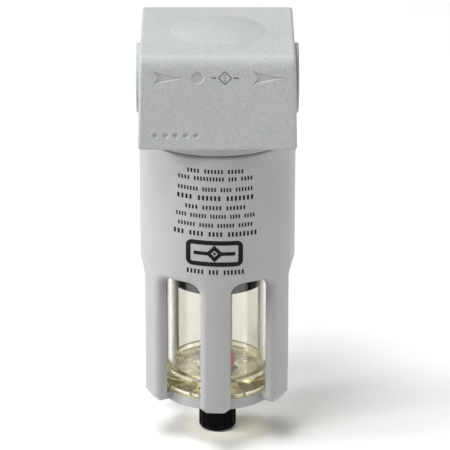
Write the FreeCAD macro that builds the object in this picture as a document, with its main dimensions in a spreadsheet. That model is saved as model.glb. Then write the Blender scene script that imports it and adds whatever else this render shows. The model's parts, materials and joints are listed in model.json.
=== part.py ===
import FreeCAD, Part
import math
import os
import Sketcher

# Compressed air filter: cast head with two threaded ports, clear bowl inside a windowed guard,
# filter cartridge with swirl deflector and baffle, and a manual push drain with a fluted knob.
# Millimetres, +Z up, Z = 0 at the bottom of the drain knob, +X towards the outlet, -Y is the front.

NAME = "air_filter"

SIZES = {
    # head casting
    "head_width": 60.0,
    "head_draft": 0.9,
    "head_depth": 66.6,
    "head_bottom": 132.4,
    "head_top": 170.3,
    "head_round": 4.8,
    "head_edge": 1.2,
    "dome_radius": 18.65,
    "dome_lip": 0.05,
    "dome_rise": 1.7,
    "boss_radius": 13.8,
    "boss_edge": 0.5,
    "boss_reach": 31.95,
    "port_height": 150.75,
    "port_radius": 10.478,
    "port_mouth": 11.3,
    "port_depth": 13.0,
    "gallery_radius": 8.0,
    "duct_radius": 10.0,
    "collar_radius": 31.0,
    "collar_bottom": 129.2,
    "neck_radius": 26.7,
    "neck_lead": 0.8,
    "neck_bottom": 112.0,
    "neck_bore": 21.5,
    "chamber_bottom": 127.0,
    "chamber_top": 160.0,
    "chamber_outer": 17.5,
    "chamber_inner": 12.5,
    "centre_bore": 9.0,
    "join": 1.0,
    "mark_depth": 0.5,
    "mark_slope": -45.0,
    "mark_height": 162.1,
    "arrow_length": 12.8,
    "arrow_half": 2.8,
    "arrow_notch": 1.9,
    "inlet_arrow": -25.1,
    "outlet_arrow": 13.4,
    "round_mark": -7.75,
    "round_mark_radius": 2.6,
    "symbol_centre": 2.9,
    "symbol_half": 2.9,
    "symbol_inner": 2.2,
    "symbol_dash": 0.6,
    "symbol_dash_step": 1.15,
    "symbol_dash_width": 0.45,
    "symbol_pipe": 2.0,
    "symbol_pipe_offset": 4.3,
    "dot_height": 138.5,
    "dot_start": -24.0,
    "dot_step": 3.9,
    "dot_radius": 1.25,
    "dot_count": 5,
    # cartridge
    "hub_bore": 9.2,
    "hub_outer": 13.0,
    "deflector_outer": 21.2,
    "deflector_gap": 17.4,
    "deflector_low": 117.0,
    "deflector_rim": 121.0,
    "vane_count": 12,
    "vane_thickness": 1.2,
    "vane_spread": 3.0,
    "vane_margin": 0.3,
    "element_top": 115.5,
    "element_bottom": 88.5,
    "element_radius": 13.5,
    "element_bore": 9.5,
    "baffle_top": 87.0,
    "baffle_web": 3.0,
    "baffle_bottom": 65.6,
    "baffle_radius": 18.0,
    "baffle_wall": 1.5,
    "baffle_bevel": 1.0,
    "rod_radius": 2.5,
    "rod_top": 166.0,
    "rod_bottom": 76.0,
    "rod_bevel": 0.6,
    "nut_flats": 10.0,
    "nut_height": 5.0,
    # bowl
    "bowl_radius": 20.7,
    "bowl_bore": 18.7,
    "bowl_floor": 28.0,
    "bowl_under": 22.9,
    "bowl_foot": 21.35,
    "base_radius": 23.2,
    "base_top": 28.9,
    "base_bevel": 0.4,
    "bowl_bevel": 0.6,
    "floor_round": 2.0,
    "floor_facet": 0.6,
    "skirt_bore": 20.4,
    "bowl_top": 120.5,
    "spigot_radius": 21.2,
    "flange_radius": 26.4,
    "flange_bottom": 109.0,
    "boss_outer": 9.0,
    "boss_bottom": 21.5,
    "rib_count": 12,
    "rib_thickness": 1.2,
    "groove_bottom": 115.4,
    "groove_top": 117.1,
    "groove_radius": 19.9,
    "ring_section": 0.75,
    "ring_radius": 20.7,
    # guard and thrust ring
    "guard_radius": 31.05,
    "guard_bore": 27.05,
    "guard_top": 128.7,
    "guard_rim": 1.4,
    "guard_foot": 18.4,
    "guard_angle": -1.66,
    "ledge_top": 106.5,
    "ledge_bottom": 103.0,
    "ledge_bore": 23.7,
    "ledge_slope": 3.0,
    "guard_ribs": 6,
    "guard_rib_half": 6.0,
    "window_top": 74.2,
    "window_corner": 5.0,
    "window_rim": 2.8,
    "rib_corner": 2.4,
    "guard_chamfer": 2.2,
    "guard_chamfer_rise": 3.2,
    "foot_ring_outer": 23.2,
    "foot_ring_bore": 19.6,
    "foot_ring_low": 17.3,
    "foot_ring_top": 21.25,
    "clearance": 0.1,
    # drain
    "drain_shank": 5.0,
    "drain_shank_bottom": 13.0,
    "drain_flange": 5.7,
    "gasket_top": 28.8,
    "seat": 30.6,
    "drain_bore": 3.0,
    "gasket_radius": 6.8,
    "drain_nut_bottom": 18.5,
    "drain_nut_flats": 15.0,
    "stem_radius": 2.95,
    "stem_bottom": 0.6,
    "stem_top": 34.8,
    "stem_passage": 1.4,
    "stem_hole": 0.9,
    "stem_hole_drop": 2.0,
    "stem_bevel": 0.3,
    "stem_tip_bevel": 0.5,
    "passage_gap": 0.4,
    "collar_flange": 4.9,
    "collar_low": 5.0,
    "collar_high": 6.0,
    "seal_radius": 7.1,
    "seal_skirt_bore": 6.0,
    "seal_skirt": 29.2,
    "seal_top": 33.4,
    "retainer_top": 34.2,
    "retainer_radius": 4.2,
    "seal_edge": 1.0,
    "seal_shoulder": 1.4,
    "seal_crown": 0.6,
    "clip_radius": 4.4,
    "clip_bottom": 1.8,
    "clip_top": 2.5,
    "clip_groove": 2.4,
    "knob_radius": 7.6,
    "knob_top": 15.0,
    "knob_cavity": 5.6,
    "knob_recess": 5.2,
    "knob_bore": 3.0,
    "knob_foot_inset": 1.6,
    "knob_foot_step": 0.6,
    "knob_foot_low": 0.4,
    "knob_foot_high": 1.4,
    "knob_bevel": 0.5,
    "flute_stop": 1.2,
    "flute_count": 16,
    "flute_radius": 0.9,
    "flute_offset": 0.5,
    "spring_radius": 4.15,
    "spring_wire": 0.4,
    "spring_turns": 4.0,
}


class Size:
    """A length in millimetres together with the sheet expression that drives it."""

    def __init__(self, value, text):
        self.value = value
        self.text = text

    def __add__(self, other):
        other = as_size(other)
        return Size(self.value + other.value, "(%s + %s)" % (self.text, other.text))

    def __sub__(self, other):
        other = as_size(other)
        return Size(self.value - other.value, "(%s - %s)" % (self.text, other.text))

    def __mul__(self, factor):
        factor = as_size(factor)
        return Size(self.value * factor.value, "(%s * %s)" % (self.text, factor.text))

    def __truediv__(self, factor):
        factor = as_size(factor)
        return Size(self.value / factor.value, "(%s / %s)" % (self.text, factor.text))

    def __neg__(self):
        return Size(-self.value, "(-1 * %s)" % self.text)

    __radd__ = __add__
    __rmul__ = __mul__


def as_size(item):
    if isinstance(item, Size):
        return item
    return Size(float(item), "%.6f" % float(item))


class Sheet:
    """Gives each aliased cell as a Size: s.head_width and so on."""

    def __init__(self, values):
        for alias, value in values.items():
            setattr(self, alias, Size(value, "Sizes." + alias))


doc = FreeCAD.newDocument(NAME)
table = doc.addObject("Spreadsheet::Sheet", "Sizes")
for row, (alias, value) in enumerate(SIZES.items(), start=1):
    table.set("A%d" % row, alias)
    table.set("B%d" % row, str(value))
    table.setAlias("B%d" % row, alias)
doc.recompute()
s = Sheet(SIZES)


def new_body(name):
    body = doc.addObject("PartDesign::Body", name)
    body.Label = name
    body.Placement = FreeCAD.Placement()
    return body


def origin_feature(body, role):
    return [f for f in body.Origin.OriginFeatures if f.Role == role][0]


def new_sketch(body, name, role, offset=None):
    sketch = body.newObject("Sketcher::SketchObject", name)
    sketch.AttachmentSupport = [(origin_feature(body, role), "")]
    sketch.MapMode = "FlatFace"
    if offset is not None:
        sketch.setExpression("AttachmentOffset.Base.z", offset.text)
    return sketch


def drive(sketch, constraint, size):
    index = sketch.addConstraint(constraint)
    sketch.setExpression("Constraints[%d]" % index, size.text)


def pin(sketch, index, end, x, y):
    """Places one end of a line, or the centre of a circle, at sheet-driven coordinates."""
    x, y = as_size(x), as_size(y)
    if x.text == "0.000000":
        sketch.addConstraint(Sketcher.Constraint("PointOnObject", index, end, -2))
    else:
        drive(sketch, Sketcher.Constraint("DistanceX", -1, 1, index, end, x.value), x)
    if y.text == "0.000000":
        sketch.addConstraint(Sketcher.Constraint("PointOnObject", index, end, -1))
    else:
        drive(sketch, Sketcher.Constraint("DistanceY", -1, 1, index, end, y.value), y)


def add_polygon(sketch, points):
    corners = [FreeCAD.Vector(as_size(x).value, as_size(y).value, 0) for x, y in points]
    count = len(corners)
    first = sketch.GeometryCount
    for i in range(count):
        sketch.addGeometry(Part.LineSegment(corners[i], corners[(i + 1) % count]), False)
    for i in range(count):
        after = first + (i + 1) % count
        sketch.addConstraint(Sketcher.Constraint("Coincident", first + i, 2, after, 1))
    for i in range(count):
        pin(sketch, first + i, 1, points[i][0], points[i][1])


def add_circle(sketch, x, y, radius):
    centre = FreeCAD.Vector(as_size(x).value, as_size(y).value, 0)
    up = FreeCAD.Vector(0, 0, 1)
    index = sketch.addGeometry(Part.Circle(centre, up, radius.value), False)
    drive(sketch, Sketcher.Constraint("Radius", index, radius.value), radius)
    pin(sketch, index, 3, x, y)


def polygon_sketch(body, name, role, points, offset=None):
    sketch = new_sketch(body, name, role, offset)
    add_polygon(sketch, points)
    doc.recompute()
    return sketch


def circle_sketch(body, name, role, x, y, radius, offset=None):
    sketch = new_sketch(body, name, role, offset)
    add_circle(sketch, x, y, radius)
    doc.recompute()
    return sketch


def sweep_round(body, name, sketch, cut=False, axis="V_Axis"):
    kind = "PartDesign::Groove" if cut else "PartDesign::Revolution"
    feature = body.newObject(kind, name)
    feature.Profile = sketch
    feature.ReferenceAxis = (sketch, [axis])
    feature.Angle = 360
    doc.recompute()
    return feature


def extrude(body, name, sketch, length, cut=False, both=False, turned=False, slope=None):
    kind = "PartDesign::Pocket" if cut else "PartDesign::Pad"
    feature = body.newObject(kind, name)
    feature.Profile = sketch
    feature.setExpression("Length", length.text)
    feature.Midplane = both
    feature.Reversed = turned
    if slope:
        feature.setExpression("TaperAngle", slope.text)
    doc.recompute()
    return feature


def around(body, name, feature, count):
    pattern = body.newObject("PartDesign::PolarPattern", name)
    pattern.Originals = [feature]
    pattern.Axis = (origin_feature(body, "Z_Axis"), [""])
    pattern.Angle = 360
    pattern.Occurrences = int(count.value)
    pattern.setExpression("Occurrences", count.text)
    body.Tip = pattern
    doc.recompute()
    return pattern


def round_edges(body, name, feature, radius, test, kind="PartDesign::Fillet"):
    """Fillets or chamfers every edge of the feature that passes the test."""
    names = ["Edge%d" % (i + 1) for i, e in enumerate(feature.Shape.Edges) if test(e)]
    blend = body.newObject(kind, name)
    blend.Base = (feature, names)
    key = "Radius" if kind == "PartDesign::Fillet" else "Size"
    blend.setExpression(key, as_size(radius).text)
    doc.recompute()
    return blend


def box_of(edge):
    return edge.BoundBox


def near(a, b, gap=0.02):
    return abs(a - b) < gap


def is_level(edge, height):
    """True for an edge that lies wholly at one height."""
    return near(box_of(edge).ZMin, height.value) and near(box_of(edge).ZMax, height.value)


def ring_points(inner, outer, low, high):
    return [(inner, low), (outer, low), (outer, high), (inner, high)]


def plain_ring(name, inner, outer, low, high):
    """A washer, gasket or sleeve about the Z axis."""
    body = new_body(name)
    sketch = polygon_sketch(body, name + "_profile", "XZ_Plane", ring_points(inner, outer, low, high))
    sweep_round(body, name + "_turn", sketch)
    return body


def hexagon(flats):
    across = flats / math.sqrt(3.0)
    angles = [math.radians(60 * i) for i in range(6)]
    return [(across * round(math.cos(a), 6), across * round(math.sin(a), 6)) for a in angles]


def hex_nut(name, flats, bore, low, height):
    body = new_body(name)
    sketch = new_sketch(body, name + "_profile", "XY_Plane", low)
    add_polygon(sketch, hexagon(flats))
    add_circle(sketch, 0, 0, bore)
    doc.recompute()
    extrude(body, name + "_blank", sketch, height)
    return body


def rectangle(x, z, width, height):
    left, right = x - width / 2, x + width / 2
    low, high = z - height / 2, z + height / 2
    return [(left, low), (right, low), (right, high), (left, high)]


# ---------------------------------------------------------------- head
head = new_body("head")
half_w = s.head_width / 2
half_d = s.head_depth / 2
block = polygon_sketch(
    head,
    "block_profile",
    "XZ_Plane",
    [
        (-half_w - s.head_draft, s.head_bottom),
        (half_w + s.head_draft, s.head_bottom),
        (half_w, s.head_top),
        (-half_w, s.head_top),
    ],
)
blank = extrude(head, "block", block, s.head_depth, both=True)


def long_top_edge(edge):
    return is_level(edge, s.head_top) and near(box_of(edge).XLength, s.head_width.value)


def side_or_bottom_edge(edge):
    at_side = abs(edge.CenterOfMass.x) > half_w.value - 0.05
    return at_side or is_level(edge, s.head_bottom)


def boss_face_edge(edge):
    flat = near(box_of(edge).XMin, box_of(edge).XMax)
    return flat and near(abs(edge.CenterOfMass.x), s.boss_reach.value)


rounded = round_edges(head, "top_rounds", blank, s.head_round, long_top_edge)
round_edges(head, "small_rounds", rounded, s.head_edge, side_or_bottom_edge)

bosses = circle_sketch(head, "boss_profile", "YZ_Plane", 0, s.port_height, s.boss_radius)
boss_pad = extrude(head, "port_bosses", bosses, s.boss_reach * 2, both=True)
round_edges(head, "boss_rounds", boss_pad, s.boss_edge, boss_face_edge)

dome = new_sketch(head, "dome_profile", "XZ_Plane")
lip = s.head_top + s.dome_lip
peak = s.head_top + s.dome_rise
dome_base = s.head_top - s.join
centre_low = FreeCAD.Vector(0, dome_base.value, 0)
edge_low = FreeCAD.Vector(s.dome_radius.value, dome_base.value, 0)
edge_lip = FreeCAD.Vector(s.dome_radius.value, lip.value, 0)
centre_peak = FreeCAD.Vector(0, peak.value, 0)
rise = peak.value - lip.value
ball = (s.dome_radius.value**2 + rise**2) / (2 * rise)
ball_circle = Part.Circle(FreeCAD.Vector(0, peak.value - ball, 0), FreeCAD.Vector(0, 0, 1), ball)
start_angle = math.asin((ball - rise) / ball)
dome.addGeometry(Part.LineSegment(centre_low, edge_low), False)
dome.addGeometry(Part.LineSegment(edge_low, edge_lip), False)
dome.addGeometry(Part.ArcOfCircle(ball_circle, start_angle, math.pi / 2), False)
dome.addGeometry(Part.LineSegment(centre_peak, centre_low), False)
dome.addConstraint(Sketcher.Constraint("Coincident", 0, 2, 1, 1))
dome.addConstraint(Sketcher.Constraint("Coincident", 1, 2, 2, 1))
dome.addConstraint(Sketcher.Constraint("Coincident", 2, 2, 3, 1))
dome.addConstraint(Sketcher.Constraint("Coincident", 3, 2, 0, 1))
dome.addConstraint(Sketcher.Constraint("PointOnObject", 2, 3, -2))
pin(dome, 0, 1, 0, dome_base)
pin(dome, 1, 1, s.dome_radius, dome_base)
pin(dome, 2, 1, s.dome_radius, lip)
pin(dome, 3, 1, 0, peak)
doc.recompute()
sweep_round(head, "top_dome", dome)

neck = polygon_sketch(
    head,
    "neck_profile",
    "XZ_Plane",
    [
        (0, s.neck_bottom),
        (s.neck_radius - s.neck_lead, s.neck_bottom),
        (s.neck_radius, s.neck_bottom + s.neck_lead),
        (s.neck_radius, s.collar_bottom),
        (s.collar_radius, s.collar_bottom),
        (s.collar_radius, s.head_bottom + s.join),
        (0, s.head_bottom + s.join),
    ],
)
sweep_round(head, "collar_and_neck", neck)

hollow = polygon_sketch(
    head,
    "hollow_profile",
    "XZ_Plane",
    [
        (0, s.neck_bottom),
        (s.neck_bore, s.neck_bottom),
        (s.neck_bore, s.chamber_bottom),
        (s.chamber_outer, s.chamber_bottom),
        (s.chamber_outer, s.chamber_top),
        (s.chamber_inner, s.chamber_top),
        (s.chamber_inner, s.chamber_bottom),
        (s.centre_bore, s.chamber_bottom),
        (s.centre_bore, s.chamber_top),
        (s.rod_radius, s.chamber_top),
        (s.rod_radius, s.rod_top + s.join),
        (0, s.rod_top + s.join),
    ],
)
sweep_round(head, "hollow", hollow, cut=True)

duct_start = (s.centre_bore + s.chamber_inner) / 2
duct = circle_sketch(head, "duct_profile", "YZ_Plane", 0, s.port_height, s.duct_radius, duct_start)
extrude(head, "outlet_duct", duct, s.chamber_outer - duct_start + s.join)


def port_cut(name, side, reach):
    """One threaded port with its lead-in and the gallery behind it, turned about the port axis."""
    face = s.boss_reach * side
    lead_in = (s.port_mouth - s.port_radius) * side
    shoulder = face - s.port_depth * side
    axis_z = s.port_height
    sketch = new_sketch(head, name + "_profile", "XZ_Plane")
    add_polygon(
        sketch,
        [
            (face, axis_z),
            (face, axis_z + s.port_mouth),
            (face - lead_in, axis_z + s.port_radius),
            (shoulder, axis_z + s.port_radius),
            (shoulder, axis_z + s.gallery_radius),
            (reach * side, axis_z + s.gallery_radius),
            (reach * side, axis_z),
        ],
    )
    left, right = -s.head_width, s.head_width
    left_end = FreeCAD.Vector(left.value, axis_z.value, 0)
    right_end = FreeCAD.Vector(right.value, axis_z.value, 0)
    index = sketch.addGeometry(Part.LineSegment(left_end, right_end), True)
    pin(sketch, index, 1, left, axis_z)
    pin(sketch, index, 2, right, axis_z)
    doc.recompute()
    return sweep_round(head, name, sketch, cut=True, axis="Axis0")


port_cut("inlet_cut", -1.0, s.chamber_inner + s.join / 2)
port_cut("outlet_cut", 1.0, s.centre_bore / 2)


def arrow(x, z):
    """A notched flow arrow pointing to the outlet, given by the place of its tail."""
    return [
        (x, z - s.arrow_half),
        (x + s.arrow_length, z),
        (x, z + s.arrow_half),
        (x + s.arrow_notch, z),
    ]


def diamond(x, z, half):
    return [(x - half, z), (x, z - half), (x + half, z), (x, z + half)]


marks = new_sketch(head, "front_marks", "XZ_Plane", half_d)
mark_z = s.mark_height
add_polygon(marks, arrow(s.inlet_arrow, mark_z))
add_polygon(marks, arrow(s.outlet_arrow, mark_z))
add_circle(marks, s.round_mark, mark_z, s.round_mark_radius)
for dot in range(int(s.dot_count.value)):
    add_circle(marks, s.dot_start + s.dot_step * dot, s.dot_height, s.dot_radius)
doc.recompute()
extrude(head, "front_recesses", marks, s.mark_depth, cut=True, slope=s.mark_slope)

symbol = new_sketch(head, "filter_symbol", "XZ_Plane", half_d)
add_polygon(symbol, diamond(s.symbol_centre, mark_z, s.symbol_half))
add_polygon(symbol, diamond(s.symbol_centre, mark_z, s.symbol_inner))
for place in (-1.0, 0.0, 1.0):
    dash_z = mark_z + s.symbol_dash_step * place
    add_polygon(symbol, rectangle(s.symbol_centre, dash_z, s.symbol_dash_width, s.symbol_dash))
for side in (-1.0, 1.0):
    pipe_x = s.symbol_centre + s.symbol_pipe_offset * side
    add_polygon(symbol, rectangle(pipe_x, mark_z, s.symbol_pipe, s.symbol_dash))
doc.recompute()
extrude(head, "symbol_recess", symbol, s.mark_depth, cut=True)

back_marks = new_sketch(head, "back_marks", "XZ_Plane", -half_d)
add_polygon(back_marks, arrow(s.inlet_arrow, mark_z))
add_polygon(back_marks, arrow(s.outlet_arrow, mark_z))
doc.recompute()
extrude(head, "back_recesses", back_marks, s.mark_depth, cut=True, turned=True, slope=s.mark_slope)

# ---------------------------------------------------------------- cartridge
deflector = new_body("deflector")
rim = polygon_sketch(
    deflector,
    "hub_profile",
    "XZ_Plane",
    ring_points(s.hub_bore, s.hub_outer, s.deflector_low, s.chamber_bottom),
)
sweep_round(deflector, "hub", rim)
vane_low = s.deflector_rim + s.vane_margin
vane_high = s.chamber_bottom - s.vane_margin
vane_sketch = polygon_sketch(
    deflector,
    "vane_profile",
    "YZ_Plane",
    [
        (-s.vane_spread, vane_low),
        (s.vane_thickness - s.vane_spread, vane_low),
        (s.vane_spread, vane_high),
        (s.vane_spread - s.vane_thickness, vane_high),
    ],
    s.hub_outer - s.join,
)
vane = extrude(deflector, "vane", vane_sketch, s.deflector_gap - s.hub_outer + s.join * 2)
around(deflector, "vanes", vane, s.vane_count)
outer_rim = polygon_sketch(
    deflector,
    "rim_profile",
    "XZ_Plane",
    ring_points(s.deflector_gap, s.deflector_outer, s.deflector_rim, s.chamber_bottom),
)
sweep_round(deflector, "rim", outer_rim)

plain_ring("element_top_gasket", s.element_bore, s.hub_outer, s.element_top, s.deflector_low)
plain_ring("filter_element", s.element_bore, s.element_radius, s.element_bottom, s.element_top)
plain_ring("element_bottom_gasket", s.element_bore, s.hub_outer, s.baffle_top, s.element_bottom)

rod = new_body("tie_rod")
rod_profile = polygon_sketch(
    rod,
    "rod_profile",
    "XZ_Plane",
    [(0, s.rod_bottom), (s.rod_radius, s.rod_bottom), (s.rod_radius, s.rod_top), (0, s.rod_top)],
)
rod_turn = sweep_round(rod, "rod", rod_profile)


def rod_end_edge(edge):
    return is_level(edge, s.rod_bottom) or is_level(edge, s.rod_top)


round_edges(rod, "rod_ends", rod_turn, s.rod_bevel, rod_end_edge, "PartDesign::Chamfer")

baffle = new_body("baffle")
web_low = s.baffle_top - s.baffle_web
baffle_inner = s.baffle_radius - s.baffle_wall
baffle_profile = polygon_sketch(
    baffle,
    "baffle_profile",
    "XZ_Plane",
    [
        (s.rod_radius, web_low),
        (baffle_inner, web_low),
        (baffle_inner, s.baffle_bottom),
        (s.baffle_radius, s.baffle_bottom),
        (s.baffle_radius, s.baffle_top - s.baffle_bevel),
        (s.baffle_radius - s.baffle_bevel, s.baffle_top),
        (s.rod_radius, s.baffle_top),
    ],
)
sweep_round(baffle, "baffle_turn", baffle_profile)

hex_nut("baffle_nut", s.nut_flats, s.rod_radius, web_low - s.nut_height, s.nut_height)

# ---------------------------------------------------------------- bowl
bowl = new_body("bowl")
bowl_profile = polygon_sketch(
    bowl,
    "bowl_profile",
    "XZ_Plane",
    [
        (s.drain_shank, s.boss_bottom),
        (s.boss_outer, s.boss_bottom),
        (s.boss_outer, s.bowl_under),
        (s.skirt_bore, s.bowl_under),
        (s.skirt_bore, s.bowl_foot),
        (s.base_radius - s.base_bevel, s.bowl_foot),
        (s.base_radius, s.bowl_foot + s.base_bevel),
        (s.base_radius, s.base_top),
        (s.bowl_radius, s.base_top),
        (s.bowl_radius, s.flange_bottom),
        (s.flange_radius, s.flange_bottom),
        (s.flange_radius, s.neck_bottom),
        (s.spigot_radius, s.neck_bottom),
        (s.spigot_radius, s.groove_bottom),
        (s.groove_radius, s.groove_bottom),
        (s.groove_radius, s.groove_top),
        (s.spigot_radius, s.groove_top),
        (s.spigot_radius, s.bowl_top - s.bowl_bevel),
        (s.spigot_radius - s.bowl_bevel, s.bowl_top),
        (s.bowl_bore, s.bowl_top),
        (s.bowl_bore, s.bowl_floor + s.floor_round),
        (s.bowl_bore - s.floor_facet, s.bowl_floor + s.floor_facet),
        (s.bowl_bore - s.floor_round, s.bowl_floor),
        (s.drain_shank, s.bowl_floor),
    ],
)
sweep_round(bowl, "bowl_turn", bowl_profile)
rib_sketch = polygon_sketch(
    bowl,
    "rib_profile",
    "XZ_Plane",
    ring_points(
        s.boss_outer - s.join,
        s.skirt_bore + s.join,
        s.boss_bottom,
        s.bowl_under + s.join,
    ),
)
rib = extrude(bowl, "floor_rib", rib_sketch, s.rib_thickness, both=True)
around(bowl, "floor_ribs", rib, s.rib_count)

o_ring = new_body("bowl_o_ring")
ring_z = (s.groove_bottom + s.groove_top) / 2
section = circle_sketch(o_ring, "ring_section_profile", "XZ_Plane", s.ring_radius, ring_z, s.ring_section)
sweep_round(o_ring, "ring_turn", section)

# ---------------------------------------------------------------- thrust ring and guard
plain_ring("slip_ring", s.ledge_bore - s.clearance, s.flange_radius, s.ledge_top, s.flange_bottom)

guard = new_body("guard")
guard_profile = polygon_sketch(
    guard,
    "guard_profile",
    "XZ_Plane",
    [
        (s.guard_bore, s.guard_foot),
        (s.guard_radius - s.guard_chamfer, s.guard_foot),
        (s.guard_radius, s.guard_foot + s.guard_chamfer_rise),
        (s.guard_radius, s.guard_top),
        (s.guard_bore, s.guard_top),
        (s.guard_bore, s.ledge_top),
        (s.ledge_bore, s.ledge_top),
        (s.ledge_bore, s.ledge_bottom),
        (s.guard_bore, s.ledge_bottom - s.ledge_slope),
    ],
)
guard_turn = sweep_round(guard, "guard_tube", guard_profile)


def guard_rim_edge(edge):
    return is_level(edge, s.guard_top) and box_of(edge).XMax > s.guard_bore.value + s.join.value


def window_corner_edge(edge):
    """The short radial edges at the two upper corners of a window."""
    ends = [math.hypot(v.Point.x, v.Point.y) for v in edge.Vertexes]
    return is_level(edge, s.window_top) and max(ends) - min(ends) > s.join.value


def window_rim_edge(edge):
    """The edges of a window on the outside of the guard, above its bevelled foot."""
    outside = all(near(math.hypot(v.Point.x, v.Point.y), s.guard_radius.value) for v in edge.Vertexes)
    bevel_top = s.guard_foot.value + s.guard_chamfer_rise.value
    in_window = bevel_top + s.join.value < box_of(edge).ZMax < s.window_top.value + s.clearance.value
    return outside and in_window


round_edges(guard, "guard_top_round", guard_turn, s.guard_rim, guard_rim_edge)
apex = s.guard_rib_half * 2
far_x = s.guard_radius * 1.25
far_y = (far_x - apex) * round(math.tan(math.pi / s.guard_ribs.value), 8)
wedge = [(apex, 0), (far_x, far_y), (far_x, -far_y)]
window_sketch = polygon_sketch(guard, "window_profile", "XY_Plane", wedge, s.window_top)
window = extrude(guard, "window", window_sketch, s.window_top - s.guard_foot + s.join, cut=True)
windows = around(guard, "windows", window, s.guard_ribs)
corners = round_edges(guard, "window_corners", windows, s.window_corner, window_corner_edge)
round_edges(guard, "window_rims", corners, s.window_rim, window_rim_edge)
ring_sketch = polygon_sketch(
    guard,
    "foot_ring_profile",
    "XZ_Plane",
    ring_points(s.foot_ring_bore, s.foot_ring_outer, s.foot_ring_low, s.foot_ring_top),
)
sweep_round(guard, "foot_ring", ring_sketch)
corner_sketch = new_sketch(guard, "rib_corner_profile", "XZ_Plane", s.foot_ring_outer + s.join)
for side in (-1.0, 1.0):
    outer_x = (s.guard_rib_half + s.join) * side
    inner_x = (s.guard_rib_half - s.rib_corner) * side
    add_polygon(
        corner_sketch,
        [
            (inner_x, s.guard_foot - s.join),
            (outer_x, s.guard_foot - s.join),
            (outer_x, s.guard_foot + s.rib_corner + s.join),
            (inner_x, s.guard_foot),
        ],
    )
doc.recompute()
rib_corners = extrude(guard, "rib_corner", corner_sketch, s.guard_radius / 2, cut=True, turned=True)
around(guard, "rib_corners", rib_corners, s.guard_ribs)
foot_half = s.guard_rib_half - s.rib_corner - s.clearance
foot_near = -(s.guard_bore + s.clearance * 2)
foot_far = -(s.foot_ring_outer - s.join)
foot_corners = [
    (-foot_half, foot_near),
    (foot_half, foot_near),
    (foot_half, foot_far),
    (-foot_half, foot_far),
]
foot_sketch = polygon_sketch(guard, "foot_profile", "XY_Plane", foot_corners, s.guard_foot)
foot = extrude(guard, "foot", foot_sketch, s.foot_ring_top - s.guard_foot)
around(guard, "feet", foot, s.guard_ribs)
# Screwed home, the guard's front rib stops a little to the left of the head's middle.
guard.Placement = FreeCAD.Placement(
    FreeCAD.Vector(),
    FreeCAD.Rotation(FreeCAD.Vector(0, 0, 1), s.guard_angle.value),
)
doc.recompute()

# ---------------------------------------------------------------- drain
drain_body = new_body("drain_body")
drain_profile = polygon_sketch(
    drain_body,
    "drain_profile",
    "XZ_Plane",
    [
        (s.drain_bore, s.drain_shank_bottom),
        (s.drain_shank, s.drain_shank_bottom),
        (s.drain_shank, s.gasket_top),
        (s.drain_flange, s.gasket_top),
        (s.drain_flange, s.seat),
        (s.drain_bore, s.seat),
    ],
)
sweep_round(drain_body, "drain_turn", drain_profile)
plain_ring("drain_gasket", s.drain_shank, s.gasket_radius, s.bowl_floor, s.gasket_top)
nut_height = s.boss_bottom - s.drain_nut_bottom
hex_nut("drain_nut", s.drain_nut_flats, s.drain_shank, s.drain_nut_bottom, nut_height)

stem = new_body("drain_stem")
stem_profile = polygon_sketch(
    stem,
    "stem_profile",
    "XZ_Plane",
    [
        (s.stem_passage, s.stem_bottom),
        (s.stem_radius - s.stem_bevel, s.stem_bottom),
        (s.stem_radius, s.stem_bottom + s.stem_bevel),
        (s.stem_radius, s.clip_bottom),
        (s.clip_groove, s.clip_bottom),
        (s.clip_groove, s.clip_top),
        (s.stem_radius, s.clip_top),
        (s.stem_radius, s.collar_low),
        (s.collar_flange, s.collar_low),
        (s.collar_flange, s.collar_high),
        (s.stem_radius, s.collar_high),
        (s.stem_radius, s.seal_top),
        (s.clip_groove, s.seal_top),
        (s.clip_groove, s.retainer_top),
        (s.stem_radius, s.retainer_top),
        (s.stem_radius - s.stem_tip_bevel, s.stem_top),
        (0, s.stem_top),
        (0, s.seat - s.passage_gap),
        (s.stem_passage, s.seat - s.passage_gap),
    ],
)
sweep_round(stem, "stem_turn", stem_profile)
hole_z = s.seat - s.stem_hole_drop
cross_hole = circle_sketch(stem, "cross_hole_profile", "XZ_Plane", 0, hole_z, s.stem_hole)
extrude(stem, "cross_hole", cross_hole, s.stem_radius * 3, cut=True, both=True)

seal = new_body("drain_seal")
seal_profile = polygon_sketch(
    seal,
    "seal_profile",
    "XZ_Plane",
    [
        (s.stem_radius, s.seat),
        (s.seal_skirt_bore, s.seat),
        (s.seal_skirt_bore, s.seal_skirt),
        (s.seal_radius, s.seal_skirt),
        (s.seal_radius, s.seat + s.seal_edge),
        (s.seal_radius - s.seal_shoulder, s.seal_top - s.seal_crown),
        (s.retainer_radius + s.seal_crown, s.seal_top),
        (s.stem_radius, s.seal_top),
    ],
)
sweep_round(seal, "seal_turn", seal_profile)
plain_ring("seal_retainer", s.clip_groove, s.retainer_radius, s.seal_top, s.retainer_top)
plain_ring("knob_clip", s.clip_groove, s.clip_radius, s.clip_bottom, s.clip_top)

spring = new_body("drain_spring")
spring_low = s.collar_high + s.spring_wire
spring_high = s.drain_shank_bottom - s.spring_wire
wire = circle_sketch(spring, "wire_profile", "XZ_Plane", s.spring_radius, spring_low, s.spring_wire)
coil = spring.newObject("PartDesign::AdditiveHelix", "coil")
coil.Profile = wire
coil.ReferenceAxis = (wire, ["V_Axis"])
coil.Mode = "height-turns-angle"
coil.setExpression("Height", (spring_high - spring_low).text)
coil.setExpression("Turns", s.spring_turns.text)
doc.recompute()

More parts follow.
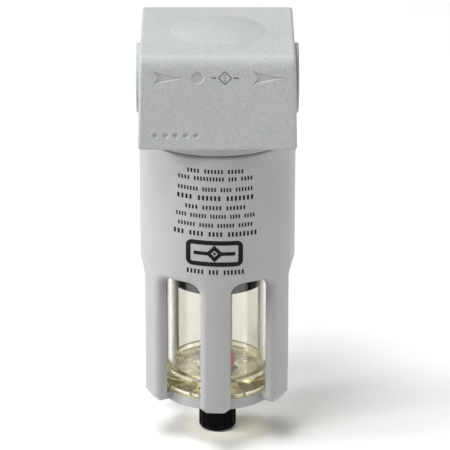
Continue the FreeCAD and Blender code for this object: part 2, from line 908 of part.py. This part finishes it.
knob = new_body("drain_knob")
knob_profile = polygon_sketch(
    knob,
    "knob_profile",
    "XZ_Plane",
    [
        (s.knob_recess, 0),
        (s.knob_radius - s.knob_foot_inset, 0),
        (s.knob_radius - s.knob_foot_step, s.knob_foot_low),
        (s.knob_radius, s.knob_foot_high),
        (s.knob_radius, s.knob_top - s.knob_bevel),
        (s.knob_radius - s.knob_bevel, s.knob_top),
        (s.knob_cavity, s.knob_top),
        (s.knob_cavity, s.collar_low),
        (s.knob_bore, s.collar_low),
        (s.knob_bore, s.clip_top),
        (s.knob_recess, s.clip_top),
    ],
)
sweep_round(knob, "knob_turn", knob_profile)
flute = circle_sketch(knob, "flute_profile", "XY_Plane", s.knob_radius + s.flute_offset, 0, s.flute_radius)
flute_cut = extrude(knob, "flute", flute, s.knob_top - s.flute_stop, cut=True, turned=True)
around(knob, "flutes", flute_cut, s.flute_count)

# ---------------------------------------------------------------- checks and export
doc.recompute()
os.makedirs("parts", exist_ok=True)
bodies = [o for o in doc.Objects if o.TypeId == "PartDesign::Body"]
for item in doc.Objects:
    state = list(item.State)
    if "Invalid" in state or "Error" in state:
        raise RuntimeError("%s is in state %s" % (item.Label, state))
for body in bodies:
    shape = body.Shape
    if shape.isNull() or not shape.isValid() or shape.Volume <= 0:
        raise RuntimeError("%s has no valid solid" % body.Label)
for body in bodies:
    body.Shape.exportStep("parts/%s.step" % body.Label)
    bound = body.Shape.BoundBox
    print(
        "%-22s solids %d volume %9.1f z %.2f..%.2f r<%.2f"
        % (body.Label, len(body.Shape.Solids), body.Shape.Volume, bound.ZMin, bound.ZMax, bound.XMax)
    )
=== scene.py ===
import json
import math

import bmesh
import bpy
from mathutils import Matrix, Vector


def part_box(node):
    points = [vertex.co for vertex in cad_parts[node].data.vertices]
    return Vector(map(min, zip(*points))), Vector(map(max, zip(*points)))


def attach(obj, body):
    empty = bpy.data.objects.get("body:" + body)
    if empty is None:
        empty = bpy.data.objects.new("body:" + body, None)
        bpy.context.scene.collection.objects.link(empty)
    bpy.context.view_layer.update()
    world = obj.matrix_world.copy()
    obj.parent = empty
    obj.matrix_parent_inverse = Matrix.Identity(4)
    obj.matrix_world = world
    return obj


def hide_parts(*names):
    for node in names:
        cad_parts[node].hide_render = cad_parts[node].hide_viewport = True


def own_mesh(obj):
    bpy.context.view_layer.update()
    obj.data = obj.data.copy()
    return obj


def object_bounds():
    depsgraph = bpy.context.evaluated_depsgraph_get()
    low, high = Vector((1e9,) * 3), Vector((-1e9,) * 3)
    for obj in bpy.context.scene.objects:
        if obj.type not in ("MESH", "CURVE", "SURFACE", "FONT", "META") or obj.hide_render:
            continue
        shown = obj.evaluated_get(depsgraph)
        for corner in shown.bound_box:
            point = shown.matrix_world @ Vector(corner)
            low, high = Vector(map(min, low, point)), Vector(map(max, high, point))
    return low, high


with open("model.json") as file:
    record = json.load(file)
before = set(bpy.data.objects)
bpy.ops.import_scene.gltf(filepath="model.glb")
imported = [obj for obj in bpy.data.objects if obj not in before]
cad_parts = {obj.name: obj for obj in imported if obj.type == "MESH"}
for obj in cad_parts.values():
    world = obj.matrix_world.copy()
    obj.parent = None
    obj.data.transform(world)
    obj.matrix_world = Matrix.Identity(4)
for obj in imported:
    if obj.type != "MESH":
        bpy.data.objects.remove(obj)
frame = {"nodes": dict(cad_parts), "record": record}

CAD_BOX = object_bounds()
MM = 0.001

# Places and sizes that the looks need, read from the frame.
HEAD_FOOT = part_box("head")[0].z
GUARD_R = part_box("guard")[1].y
BOWL_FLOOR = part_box("drain_gasket")[0].z
BAFFLE_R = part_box("baffle")[1].x
OUTLET = next(m for m in frame["record"]["mounts"] if m["name"] == "outlet_port")
PORT_Z = OUTLET["pos_m"][2]
PORT_R = OUTLET["dims"]["r_mm"] * MM


# ------------------------------------------------------------------ shader helper
class Shader:
    """A node material around one Principled shader, with short calls for the usual nodes."""

    def __init__(self, name):
        self.mat = bpy.data.materials.new(name)
        self.mat.use_nodes = True
        self.tree = self.mat.node_tree
        self.tree.nodes.clear()
        self.out = self.add("ShaderNodeOutputMaterial")
        self.bsdf = self.add("ShaderNodeBsdfPrincipled")
        self.link(self.bsdf.outputs[0], self.out.inputs["Surface"])
        self.coords = self.add("ShaderNodeTexCoord").outputs["Object"]

    def add(self, kind, **settings):
        node = self.tree.nodes.new(kind)
        for key, value in settings.items():
            setattr(node, key, value)
        return node

    def link(self, source, target):
        self.tree.links.new(source, target)

    def set(self, **values):
        """Constants of the Principled shader."""
        for key, value in values.items():
            self.bsdf.inputs[key.replace("_", " ")].default_value = value

    def drive(self, name, source):
        """Feeds one socket of the Principled shader from another node."""
        self.link(source, self.bsdf.inputs[name])

    def feed(self, socket, value):
        if hasattr(value, "is_output"):
            self.link(value, socket)
        else:
            socket.default_value = value

    def noise(self, scale, detail=3.0, rough=0.5, stretch=(1.0, 1.0, 1.0)):
        """Noise whose features are about 1/scale metres across."""
        mapping = self.add("ShaderNodeMapping")
        mapping.inputs["Scale"].default_value = stretch
        self.link(self.coords, mapping.inputs["Vector"])
        tex = self.add("ShaderNodeTexNoise")
        self.link(mapping.outputs[0], tex.inputs["Vector"])
        tex.inputs["Scale"].default_value = scale
        tex.inputs["Detail"].default_value = detail
        tex.inputs["Roughness"].default_value = rough
        return tex.outputs["Fac"]

    def cells(self, scale):
        tex = self.add("ShaderNodeTexVoronoi")
        self.link(self.coords, tex.inputs["Vector"])
        tex.inputs["Scale"].default_value = scale
        return tex.outputs["Distance"]

    def span(self, value, low, high, to_low=0.0, to_high=1.0):
        node = self.add("ShaderNodeMapRange")
        self.feed(node.inputs["Value"], value)
        node.inputs["From Min"].default_value = low
        node.inputs["From Max"].default_value = high
        node.inputs["To Min"].default_value = to_low
        node.inputs["To Max"].default_value = to_high
        return node.outputs["Result"]

    def wander(self, scale, low=0.0, high=1.0, detail=3.0):
        """A value that drifts between low and high, over patches about 1/scale metres across."""
        return self.span(self.noise(scale, detail), 0.3, 0.7, low, high)

    def math(self, operation, a, b=0.0):
        node = self.add("ShaderNodeMath", operation=operation)
        self.feed(node.inputs[0], a)
        self.feed(node.inputs[1], b)
        return node.outputs[0]

    def distance(self, a, b):
        """How far the point (a, b) is from the origin of its plane."""
        squares = self.math("ADD", self.math("MULTIPLY", a, a), self.math("MULTIPLY", b, b))
        return self.math("SQRT", squares)

    def blend(self, factor, first, second):
        node = self.add("ShaderNodeMix", data_type="RGBA")
        self.feed(node.inputs["Factor"], factor)
        self.feed(node.inputs["A"], first)
        self.feed(node.inputs["B"], second)
        return node.outputs["Result"]

    def bump(self, height, strength, distance, below=None):
        node = self.add("ShaderNodeBump")
        node.inputs["Strength"].default_value = strength
        node.inputs["Distance"].default_value = distance
        self.link(height, node.inputs["Height"])
        if below is not None:
            self.link(below, node.inputs["Normal"])
        return node.outputs["Normal"]

    def split(self):
        """The object's own X, Y and Z."""
        node = self.add("ShaderNodeSeparateXYZ")
        self.link(self.coords, node.inputs[0])
        return node.outputs


def rgba(red, green, blue):
    return (red, green, blue, 1.0)


def mixed_colour(sh, base, light, scale):
    """Base colour with slow, faint variation towards a second colour."""
    slow = sh.span(sh.noise(scale, detail=4.0, rough=0.6), 0.35, 0.65)
    return sh.blend(slow, base, light)


# ------------------------------------------------------------------ materials
BARE_REACH = 0.75 * MM  # how far past the port's radius the metal is bare
BARE_FADE = 0.2 * MM
BARE_FROM_X = 8.0 * MM  # how far from the head's middle the bare metal begins
BARE_FROM_FADE = 1.0 * MM
SPECK_SHADE = 0.8  # brightness of the paint's dark specks against its base colour
BASE_FADE = 3.0 * MM  # height over the bowl's floor in which the amber fades out
DISC_FADE = 1.5 * MM  # width past the baffle's edge in which the murky floor fades out


def port_bores(sh):
    """A mask that is 1 on the walls of the two ports and 0 elsewhere."""
    x, y, z = sh.split()
    away = sh.distance(y, sh.math("SUBTRACT", z, PORT_Z))
    edge = PORT_R + BARE_REACH
    inside = sh.span(away, edge + BARE_FADE, edge)
    outward = sh.span(sh.math("ABSOLUTE", x), BARE_FROM_X, BARE_FROM_X + BARE_FROM_FADE)
    return sh.math("MULTIPLY", inside, outward)


def paint(name, base, light, rough, peel, speckle, shine, bare_part=None):
    """Satin paint over a casting: orange peel, faint clouding and dark specks.

    bare_part makes the mask of the places where machined metal is left bare.
    """
    sh = Shader(name)
    specks = sh.span(sh.noise(1700.0, rough=0.7), 0.35, 0.65, 0.0, speckle)
    speck_colour = rgba(*(c * SPECK_SHADE for c in base[:3]))
    colour = sh.blend(specks, mixed_colour(sh, base, light, 45.0), speck_colour)
    height = sh.noise(1300.0, rough=0.6)
    if bare_part is not None:
        bare = bare_part(sh)
        turned = sh.span(sh.noise(900.0, stretch=(6.0, 0.1, 0.1)), 0.3, 0.7)
        bare_metal = sh.blend(turned, rgba(0.60, 0.60, 0.60), rgba(0.68, 0.68, 0.67))
        colour = sh.blend(bare, colour, bare_metal)
        height = sh.math("MULTIPLY", height, sh.math("SUBTRACT", 1.0, bare))
        sh.drive("Metallic", bare)
    sh.drive("Base Color", colour)
    sh.drive("Roughness", sh.wander(180.0, rough - 0.04, rough + 0.05))
    sh.set(Specular_IOR_Level=shine)
    peeled = sh.bump(height, peel, 0.2 * MM)
    sh.drive("Normal", sh.bump(sh.noise(420.0, detail=2.0), 0.05, 0.1 * MM, below=peeled))
    return sh.mat


def head_paint():
    colours = rgba(0.447, 0.459, 0.464), rgba(0.484, 0.494, 0.498)
    return paint(
        "head_paint", *colours, rough=0.52, peel=0.8, speckle=0.85, shine=0.22, bare_part=port_bores
    )


def guard_paint():
    colours = rgba(0.372, 0.376, 0.379), rgba(0.398, 0.402, 0.403)
    return paint("guard_paint", *colours, rough=0.36, peel=0.4, speckle=0.5, shine=0.4)


def pass_shadows(sh, colour):
    """Lets the lamps' light through a clear material, which would otherwise cast a full shadow."""
    path = sh.add("ShaderNodeLightPath")
    see_through = sh.add("ShaderNodeBsdfTransparent")
    see_through.inputs["Color"].default_value = colour
    switch = sh.add("ShaderNodeMixShader")
    sh.link(path.outputs["Is Shadow Ray"], switch.inputs[0])
    sh.link(sh.bsdf.outputs[0], switch.inputs[1])
    sh.link(see_through.outputs[0], switch.inputs[2])
    sh.link(switch.outputs[0], sh.out.inputs["Surface"])


def clear_plastic():
    """Clear, slightly yellow polycarbonate: amber in the thick base and murky over the floor."""
    sh = Shader("clear_plastic")
    sh.set(Transmission_Weight=1.0, IOR=1.58, Specular_IOR_Level=0.5)
    x, y, z = sh.split()
    low = sh.span(z, BOWL_FLOOR + BASE_FADE, BOWL_FLOOR)
    disc = sh.math("MULTIPLY", low, sh.span(sh.distance(x, y), BAFFLE_R + DISC_FADE, BAFFLE_R))
    murk = sh.math("MULTIPLY", low, sh.wander(260.0, 0.06, 0.26))
    sh.drive("Roughness", sh.math("ADD", sh.wander(120.0, 0.02, 0.07), murk))
    clean = sh.blend(sh.wander(60.0, detail=2.0), rgba(0.815, 0.805, 0.775), rgba(0.855, 0.845, 0.82))
    amber = sh.blend(low, clean, rgba(1.0, 0.97, 0.80))
    sh.drive("Base Color", sh.blend(disc, amber, rgba(0.88, 0.87, 0.80)))
    sh.drive("Normal", sh.bump(sh.noise(150.0, detail=2.0), 0.06, 0.3 * MM))
    pass_shadows(sh, rgba(0.97, 0.96, 0.92))
    depth = sh.add("ShaderNodeVolumeAbsorption")
    depth.inputs["Color"].default_value = rgba(0.90, 0.83, 0.45)
    depth.inputs["Density"].default_value = 36.0
    sh.link(depth.outputs[0], sh.out.inputs["Volume"])
    return sh.mat


def moulding(name, base, light, rough, shine=0.5, grain=0.06):
    """Moulded plastic: faint flow clouding and a fine mould texture."""
    sh = Shader(name)
    sh.drive("Base Color", mixed_colour(sh, base, light, 90.0))
    sh.drive("Roughness", sh.wander(400.0, rough - 0.04, rough + 0.08))
    sh.set(Specular_IOR_Level=shine)
    sh.drive("Normal", sh.bump(sh.noise(1500.0, detail=2.0), grain, 0.08 * MM))
    return sh.mat


def rubber(name, base, light):
    """Matt rubber with a fine grain."""
    sh = Shader(name)
    sh.drive("Base Color", mixed_colour(sh, base, light, 300.0))
    sh.drive("Roughness", sh.wander(700.0, 0.5, 0.7))
    sh.drive("Normal", sh.bump(sh.noise(2200.0), 0.15, 0.1 * MM))
    return sh.mat


def metal(name, base, light, rough, stretch):
    """Turned or plated metal. Its fine streaks run along the axes on which stretch is smallest."""
    sh = Shader(name)
    streaks = sh.noise(1200.0, detail=4.0, rough=0.6, stretch=stretch)
    sh.drive("Base Color", sh.blend(sh.span(streaks, 0.3, 0.7), base, light))
    sh.drive("Roughness", sh.span(streaks, 0.25, 0.75, rough - 0.07, rough + 0.1))
    sh.set(Metallic=1.0)
    sh.drive("Normal", sh.bump(streaks, 0.08, 0.05 * MM))
    return sh.mat


def sintered():
    """Porous sintered plastic: bright grains, with painted shade in the pores between them."""
    sh = Shader("sintered_filter")
    grains = sh.cells(1800.0)
    # The darker colour towards the cells' edges is painted shade in the pores between the grains.
    pore_shade = sh.span(grains, 0.2, 0.8)
    sh.drive("Base Color", sh.blend(pore_shade, rgba(0.80, 0.78, 0.71), rgba(0.52, 0.50, 0.44)))
    sh.drive("Roughness", sh.span(grains, 0.0, 1.0, 0.75, 0.95))
    sh.drive("Normal", sh.bump(grains, 0.5, 0.2 * MM))
    return sh.mat


def ink():
    """Black printing ink, with hardly any shine."""
    sh = Shader("print_ink")
    black, worn = rgba(0.004, 0.004, 0.005), rgba(0.014, 0.014, 0.016)
    sh.drive("Base Color", mixed_colour(sh, black, worn, 700.0))
    sh.drive("Roughness", sh.wander(1500.0, 0.5, 0.7))
    sh.set(Specular_IOR_Level=0.12)
    return sh.mat


STEEL = metal(
    "zinc_steel", rgba(0.60, 0.60, 0.58), rgba(0.76, 0.76, 0.74), rough=0.30, stretch=(1.0, 1.0, 5.0)
)
MACHINED = metal(
    "machined_aluminium",
    rgba(0.64, 0.64, 0.64),
    rgba(0.74, 0.74, 0.73),
    rough=0.26,
    stretch=(5.0, 0.12, 0.12),
)
BRASS = metal(
    "turned_brass", rgba(0.62, 0.44, 0.17), rgba(0.76, 0.58, 0.28), rough=0.25, stretch=(1.0, 1.0, 6.0)
)
BLACK_PLASTIC = moulding(
    "black_plastic", rgba(0.010, 0.011, 0.014), rgba(0.016, 0.018, 0.022), rough=0.3, grain=0.02
)
KNOB_PLASTIC = moulding(
    "knob_plastic", rgba(0.002, 0.002, 0.003), rgba(0.004, 0.004, 0.006), rough=0.2, shine=0.04, grain=0.02
)
WHITE_PLASTIC = moulding("white_acetal", rgba(0.72, 0.71, 0.67), rgba(0.78, 0.77, 0.74), rough=0.42)
RED_RUBBER = rubber("red_rubber", rgba(0.40, 0.08, 0.06), rgba(0.50, 0.12, 0.095))
BLACK_RUBBER = rubber("black_rubber", rgba(0.018, 0.018, 0.018), rgba(0.03, 0.03, 0.03))

NODE_MATERIALS = {
    "head": head_paint(),
    "guard": guard_paint(),
    "bowl": clear_plastic(),
    "deflector": BLACK_PLASTIC,
    "baffle": BLACK_PLASTIC,
    "drain_body": WHITE_PLASTIC,
    "drain_nut": WHITE_PLASTIC,
    "slip_ring": WHITE_PLASTIC,
    "filter_element": sintered(),
    "element_top_gasket": BLACK_RUBBER,
    "element_bottom_gasket": BLACK_RUBBER,
    "bowl_o_ring": BLACK_RUBBER,
    "drain_gasket": RED_RUBBER,
    "drain_seal": RED_RUBBER,
    "tie_rod": STEEL,
    "baffle_nut": STEEL,
    "seal_retainer": STEEL,
    "knob_clip": STEEL,
    "drain_spring": STEEL,
    "drain_stem": BRASS,
    "drain_knob": KNOB_PLASTIC,
}
for node, material in NODE_MATERIALS.items():
    mesh = frame["nodes"][node].data
    mesh.materials.clear()
    mesh.materials.append(material)


# ------------------------------------------------------------------ mesh helpers
def new_piece(name, verts, faces, material, body, smooth=False):
    mesh = bpy.data.meshes.new(name)
    mesh.from_pydata([tuple(v) for v in verts], [], faces)
    work = bmesh.new()
    work.from_mesh(mesh)
    bmesh.ops.recalc_face_normals(work, faces=work.faces)
    work.to_mesh(mesh)
    work.free()
    mesh.polygons.foreach_set("use_smooth", [smooth] * len(mesh.polygons))
    mesh.materials.append(material)
    piece = bpy.data.objects.new(name, mesh)
    bpy.context.scene.collection.objects.link(piece)
    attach(piece, body)
    return piece


def swept(sections):
    """Vertices and faces of a bar through a list of equal closed sections, with flat end caps."""
    count = len(sections[0])
    verts = [p for section in sections for p in section]
    faces = []
    for i in range(len(sections) - 1):
        for j in range(count):
            a, b = i * count + j, i * count + (j + 1) % count
            faces.append((a, b, b + count, a + count))
    last = (len(sections) - 1) * count
    faces.append(tuple(range(count)))
    faces.append(tuple(last + j for j in range(count)))
    return verts, faces


# ------------------------------------------------------------------ threads
THREAD_STEPS = 48  # sections in one turn
THREAD_SUNK = 0.04 * MM  # how far the ridge's root lies inside the wall
THREAD_FADE_TURNS = 0.6  # the ridge grows to its full height in this many turns
THREAD_LEAST = 0.02  # share of the height that is left at its ends
THREAD_ROOT_HALF = 0.44  # half widths of the ridge's root and crest, as shares of the pitch
THREAD_CREST_HALF = 0.07


def thread(name, body, material, centre, axis, radius, height, pitch, start, end, inward):
    """A screw thread's ridge on a bore or a neck, from start to end along the axis, fading at both ends."""
    turns = abs(end - start) / pitch
    total = int(turns * THREAD_STEPS)
    fade_steps = THREAD_STEPS * THREAD_FADE_TURNS
    side = Vector((0.0, 1.0, 0.0))
    other = axis.cross(side)
    sign = -1.0 if inward else 1.0
    root = radius - sign * THREAD_SUNK
    half, flat = pitch * THREAD_ROOT_HALF, pitch * THREAD_CREST_HALF
    sections = []
    for i in range(total + 1):
        angle = 2 * math.pi * i / THREAD_STEPS
        along = start + (end - start) * i / total
        fade = min(1.0, i / fade_steps, (total - i) / fade_steps)
        crest = radius + sign * height * max(fade, THREAD_LEAST)
        out = side * math.cos(angle) + other * math.sin(angle)
        profile = ((root, -half), (crest, -flat), (crest, flat), (root, half))
        sections.append([centre + axis * (along + shift) + out * r for r, shift in profile])
    verts, faces = swept(sections)
    return new_piece(name, verts, faces, material, body)


for side_name, outward_x in (("inlet", -1.0), ("outlet", 1.0)):
    thread(
        side_name + "_thread",
        "head_assembly",
        MACHINED,
        centre=Vector((0.0, 0.0, PORT_Z)),
        axis=Vector((outward_x, 0.0, 0.0)),
        radius=PORT_R,
        height=1.0 * MM,
        pitch=1.814 * MM,
        start=20.2 * MM,
        end=30.6 * MM,
        inward=True,
    )

thread(
    "neck_thread",
    "head_assembly",
    NODE_MATERIALS["head"],
    centre=Vector((0.0, 0.0, HEAD_FOOT)),
    axis=Vector((0.0, 0.0, 1.0)),
    radius=26.7 * MM,
    height=0.25 * MM,
    pitch=2.0 * MM,
    start=2.0 * MM,
    end=14.0 * MM,
    inward=False,
)


# ------------------------------------------------------------------ drain spring
SPRING_STEPS = 40  # sections in one turn
WIRE_SIDES = 10


def coil_spring(name, node, body, wire, turns):
    """A spring of round wire, of radius wire, in place of the CAD node.
    """
    low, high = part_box(node)
    radius = high.x - wire
    foot, head = low.z + wire, high.z - wire
    total = int(turns * SPRING_STEPS)
    up = Vector((0.0, 0.0, 1.0))
    sections = []
    for i in range(total + 1):
        angle = 2 * math.pi * i / SPRING_STEPS
        out = Vector((math.cos(angle), math.sin(angle), 0.0))
        centre = out * radius + up * (foot + (head - foot) * i / total)
        section = []
        for j in range(WIRE_SIDES):
            turn = 2 * math.pi * j / WIRE_SIDES
            section.append(centre + (out * math.cos(turn) + up * math.sin(turn)) * wire)
        sections.append(section)
    verts, faces = swept(sections)
    piece = new_piece(name, verts, faces, STEEL, body, smooth=True)
    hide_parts(node)
    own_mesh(piece)


coil_spring(
    "spring_coil", "drain_spring", "bowl_assembly", wire=0.4 * MM, turns=4
)


# ------------------------------------------------------------------ print on the guard
PRINT_X = -0.9 * MM  # the middle of the print, which sits a little askew
PRINT_SLOPE = -0.022
INK_ROOT = -0.03 * MM  # where the ink's back and face lie against the paint
INK_FACE = 0.05 * MM
STROKE_STEP = 0.8 * MM  # a stroke is cut into pieces of about this width, to follow the guard
SHARPEST_MITRE = 0.5
INK = ink()


def on_guard(x, z, lift):
    """A point of the print, at a height above the paint."""
    radius = GUARD_R + lift
    angle = math.asin(x / GUARD_R)
    return Vector((radius * math.sin(angle), -radius * math.cos(angle), z + PRINT_SLOPE * (x - PRINT_X)))


def fine_points(points, closed):
    """The points of a line and more between them, so that it can follow the guard."""
    ends = points[1:] + points[:1] if closed else points[1:]
    fine = []
    for a, b in zip(points, ends):
        parts = max(1, int(abs(b.x - a.x) / STROKE_STEP))
        fine += [a.lerp(b, k / parts) for k in range(parts)]
    return fine if closed else fine + [points[-1]]


class Print:
    """Flat strokes laid on the front of the guard, as thin as ink."""

    def __init__(self):
        self.verts = []
        self.faces = []

    def stroke(self, points, width, closed=False):
        """A line of constant width along points (x, z), with mitred corners."""
        fine = fine_points([Vector(p) for p in points], closed)
        count = len(fine)
        first = len(self.verts)
        ways = [(b - a).normalized() for a, b in zip(fine, fine[1:] + fine[:1])]
        for i, here in enumerate(fine):
            lead_in = ways[i - 1] if closed or i > 0 else ways[0]
            lead_out = ways[i] if closed or i < count - 1 else lead_in
            way = (lead_in + lead_out).normalized()
            across = Vector((-way.y, way.x))
            stretch = 1.0 / max(SHARPEST_MITRE, across.dot(Vector((-lead_in.y, lead_in.x))))
            half = across * width / 2 * stretch
            left, right = here + half, here - half
            for edge, lift in ((left, INK_ROOT), (left, INK_FACE), (right, INK_FACE), (right, INK_ROOT)):
                self.verts.append(on_guard(edge.x, edge.y, lift))
        for i in range(count if closed else count - 1):
            here, there = first + i * 4, first + ((i + 1) % count) * 4
            for j in range(4):
                k = (j + 1) % 4
                self.faces.append((here + j, here + k, there + k, there + j))
        if not closed:
            last = first + (count - 1) * 4
            self.faces.append(tuple(first + j for j in range(4)))
            self.faces.append(tuple(last + j for j in range(4)))

    def finish(self, name):
        return new_piece(name, self.verts, self.faces, INK, "guard_body")


DASH_SHARE = 0.52  # a dash's width as a share of the distance between dashes
WORD_SPACE = 1.1  # the gap between groups, in the same distance
SMALL, TALL = 1.65 * MM, 1.95 * MM

# Height, half width, dash height and dashes in each group of every printed row.
PRINT_ROWS = [
    (122.7 * MM, 10.9 * MM, SMALL, (4, 6, 5)),
    (119.6 * MM, 14.4 * MM, SMALL, (4, 10, 3, 4)),
    (115.2 * MM, 14.5 * MM, SMALL, (7, 5, 4, 6)),
    (111.6 * MM, 14.8 * MM, TALL, (4, 6, 7)),
    (107.6 * MM, 11.7 * MM, SMALL, (4, 6, 6)),
    (104.0 * MM, 15.3 * MM, SMALL, (4, 6, 6, 4, 4)),
    (100.2 * MM, 14.5 * MM, SMALL, (6, 5, 6, 5)),
    (96.5 * MM, 16.2 * MM, TALL, (3, 4, 4, 8)),
    (80.4 * MM, 11.2 * MM, TALL, (5, 3, 6)),
]


def dash_row(pen, z, half_width, height, groups):
    """One printed row: groups of equal dashes that fill its width."""
    step = 2 * half_width / (sum(groups) + WORD_SPACE * (len(groups) - 1) - 1 + DASH_SHARE)
    x = PRINT_X - half_width + step * DASH_SHARE / 2
    for count in groups:
        for _ in range(count):
            pen.stroke([(x, z - height / 2), (x, z + height / 2)], step * DASH_SHARE)
            x += step
        x += step * WORD_SPACE


def print_rows():
    pen = Print()
    for row in PRINT_ROWS:
        dash_row(pen, *row)
    pen.finish("guard_print_rows")


def rounded_box(cx, cz, half_x, half_z, corner, parts=6):
    """Points (x, z) round a box whose corners are arcs, each in so many parts."""
    points = []
    for quarter, (sx, sz) in enumerate(((1, 1), (-1, 1), (-1, -1), (1, -1))):
        for k in range(parts + 1):
            angle = math.pi / 2 * (quarter + k / parts)
            x = cx + sx * (half_x - corner) + corner * math.cos(angle)
            z = cz + sz * (half_z - corner) + corner * math.sin(angle)
            points.append((x, z))
    return points


SYMBOL_X, SYMBOL_Z = PRINT_X - 0.3 * MM, 88.3 * MM
FRAME_HALF_X, FRAME_HALF_Z, FRAME_CORNER = 10.3 * MM, 4.5 * MM, 1.6 * MM
FRAME_LINE = 1.85 * MM
DIAMOND_HALF = 2.45 * MM
DIAMOND_LINE = 1.5 * MM
DASH_HALF, DASH_LINE = 0.55 * MM, 0.9 * MM
PIPE_GAP, PIPE_END = 0.3 * MM, 8.2 * MM


def filter_symbol():
    """A plain drawing symbol for a filter, in a frame: a diamond on a pipe, with a short dash inside."""
    pen = Print()
    cx, cz, half = SYMBOL_X, SYMBOL_Z, DIAMOND_HALF
    frame_points = rounded_box(cx, cz, FRAME_HALF_X, FRAME_HALF_Z, FRAME_CORNER)
    pen.stroke(frame_points, FRAME_LINE, closed=True)
    diamond = [(cx + half, cz), (cx, cz + half), (cx - half, cz), (cx, cz - half)]
    pen.stroke(diamond, DIAMOND_LINE, closed=True)
    pen.stroke([(cx, cz - DASH_HALF), (cx, cz + DASH_HALF)], DASH_LINE)
    for side in (-1.0, 1.0):
        pen.stroke([(cx + side * (half + PIPE_GAP), cz), (cx + side * PIPE_END, cz)], DIAMOND_LINE)
    pen.finish("guard_print_symbol")


print_rows()
filter_symbol()


# ------------------------------------------------------------------ floor, light and camera
FLOOR_HALF = 6.0
FLOOR_GAP = 0.2 * MM


def pale_floor():
    mesh = bpy.data.meshes.new("floor")
    corners = [(-1, -1), (1, -1), (1, 1), (-1, 1)]
    mesh.from_pydata([(x * FLOOR_HALF, y * FLOOR_HALF, 0.0) for x, y in corners], [], [(0, 1, 2, 3)])
    floor = bpy.data.objects.new("floor", mesh)
    floor.location.z = CAD_BOX[0].z - FLOOR_GAP
    bpy.context.scene.collection.objects.link(floor)
    sh = Shader("floor_white")
    sh.drive("Base Color", mixed_colour(sh, rgba(0.85, 0.85, 0.85), rgba(0.87, 0.87, 0.87), 3.0))
    sh.set(Roughness=0.8)
    mesh.materials.append(sh.mat)


def soft_light(name, place, aim, size, power):
    data = bpy.data.lights.new(name, "AREA")
    data.shape = "DISK"
    data.size = size
    data.energy = power
    lamp = bpy.data.objects.new(name, data)
    lamp.location = place
    lamp.rotation_euler = (Vector(aim) - Vector(place)).to_track_quat("-Z", "Y").to_euler()
    bpy.context.scene.collection.objects.link(lamp)


def studio():
    world = bpy.data.worlds.new("studio")
    world.use_nodes = True
    sky = world.node_tree.nodes["Background"]
    sky.inputs["Color"].default_value = rgba(1.0, 1.0, 1.0)
    sky.inputs["Strength"].default_value = 0.22
    bpy.context.scene.world = world
    middle = (0.0, 0.0, 0.1)
    behind = (0.0, 0.4, 0.0)
    soft_light("key_light", (-1.65, -0.25, 0.78), middle, size=0.7, power=25.0)
    soft_light("rim_light", (1.45, -0.2, 0.45), middle, size=0.5, power=6.8)
    soft_light("top_light", (-0.45, -0.55, 1.75), middle, size=0.8, power=23.0)
    soft_light("back_light", (-0.1, 0.9, 1.6), behind, size=0.9, power=9.0)
    bpy.context.scene.view_settings.view_transform = "Standard"


def camera():
    """The photograph's viewpoint: from the front, above, with a long lens."""
    data = bpy.data.cameras.new("camera")
    data.sensor_width = 36.0
    data.lens = 267.9
    data.shift_x = 0.01667
    data.clip_start = 0.05
    cam = bpy.data.objects.new("camera", data)
    cam.location = (0.0, -1.2477, 0.5857)
    cam.rotation_euler = (math.radians(68.26), 0.0, 0.0)
    bpy.context.scene.collection.objects.link(cam)
    bpy.context.scene.camera = cam


pale_floor()
studio()
camera()
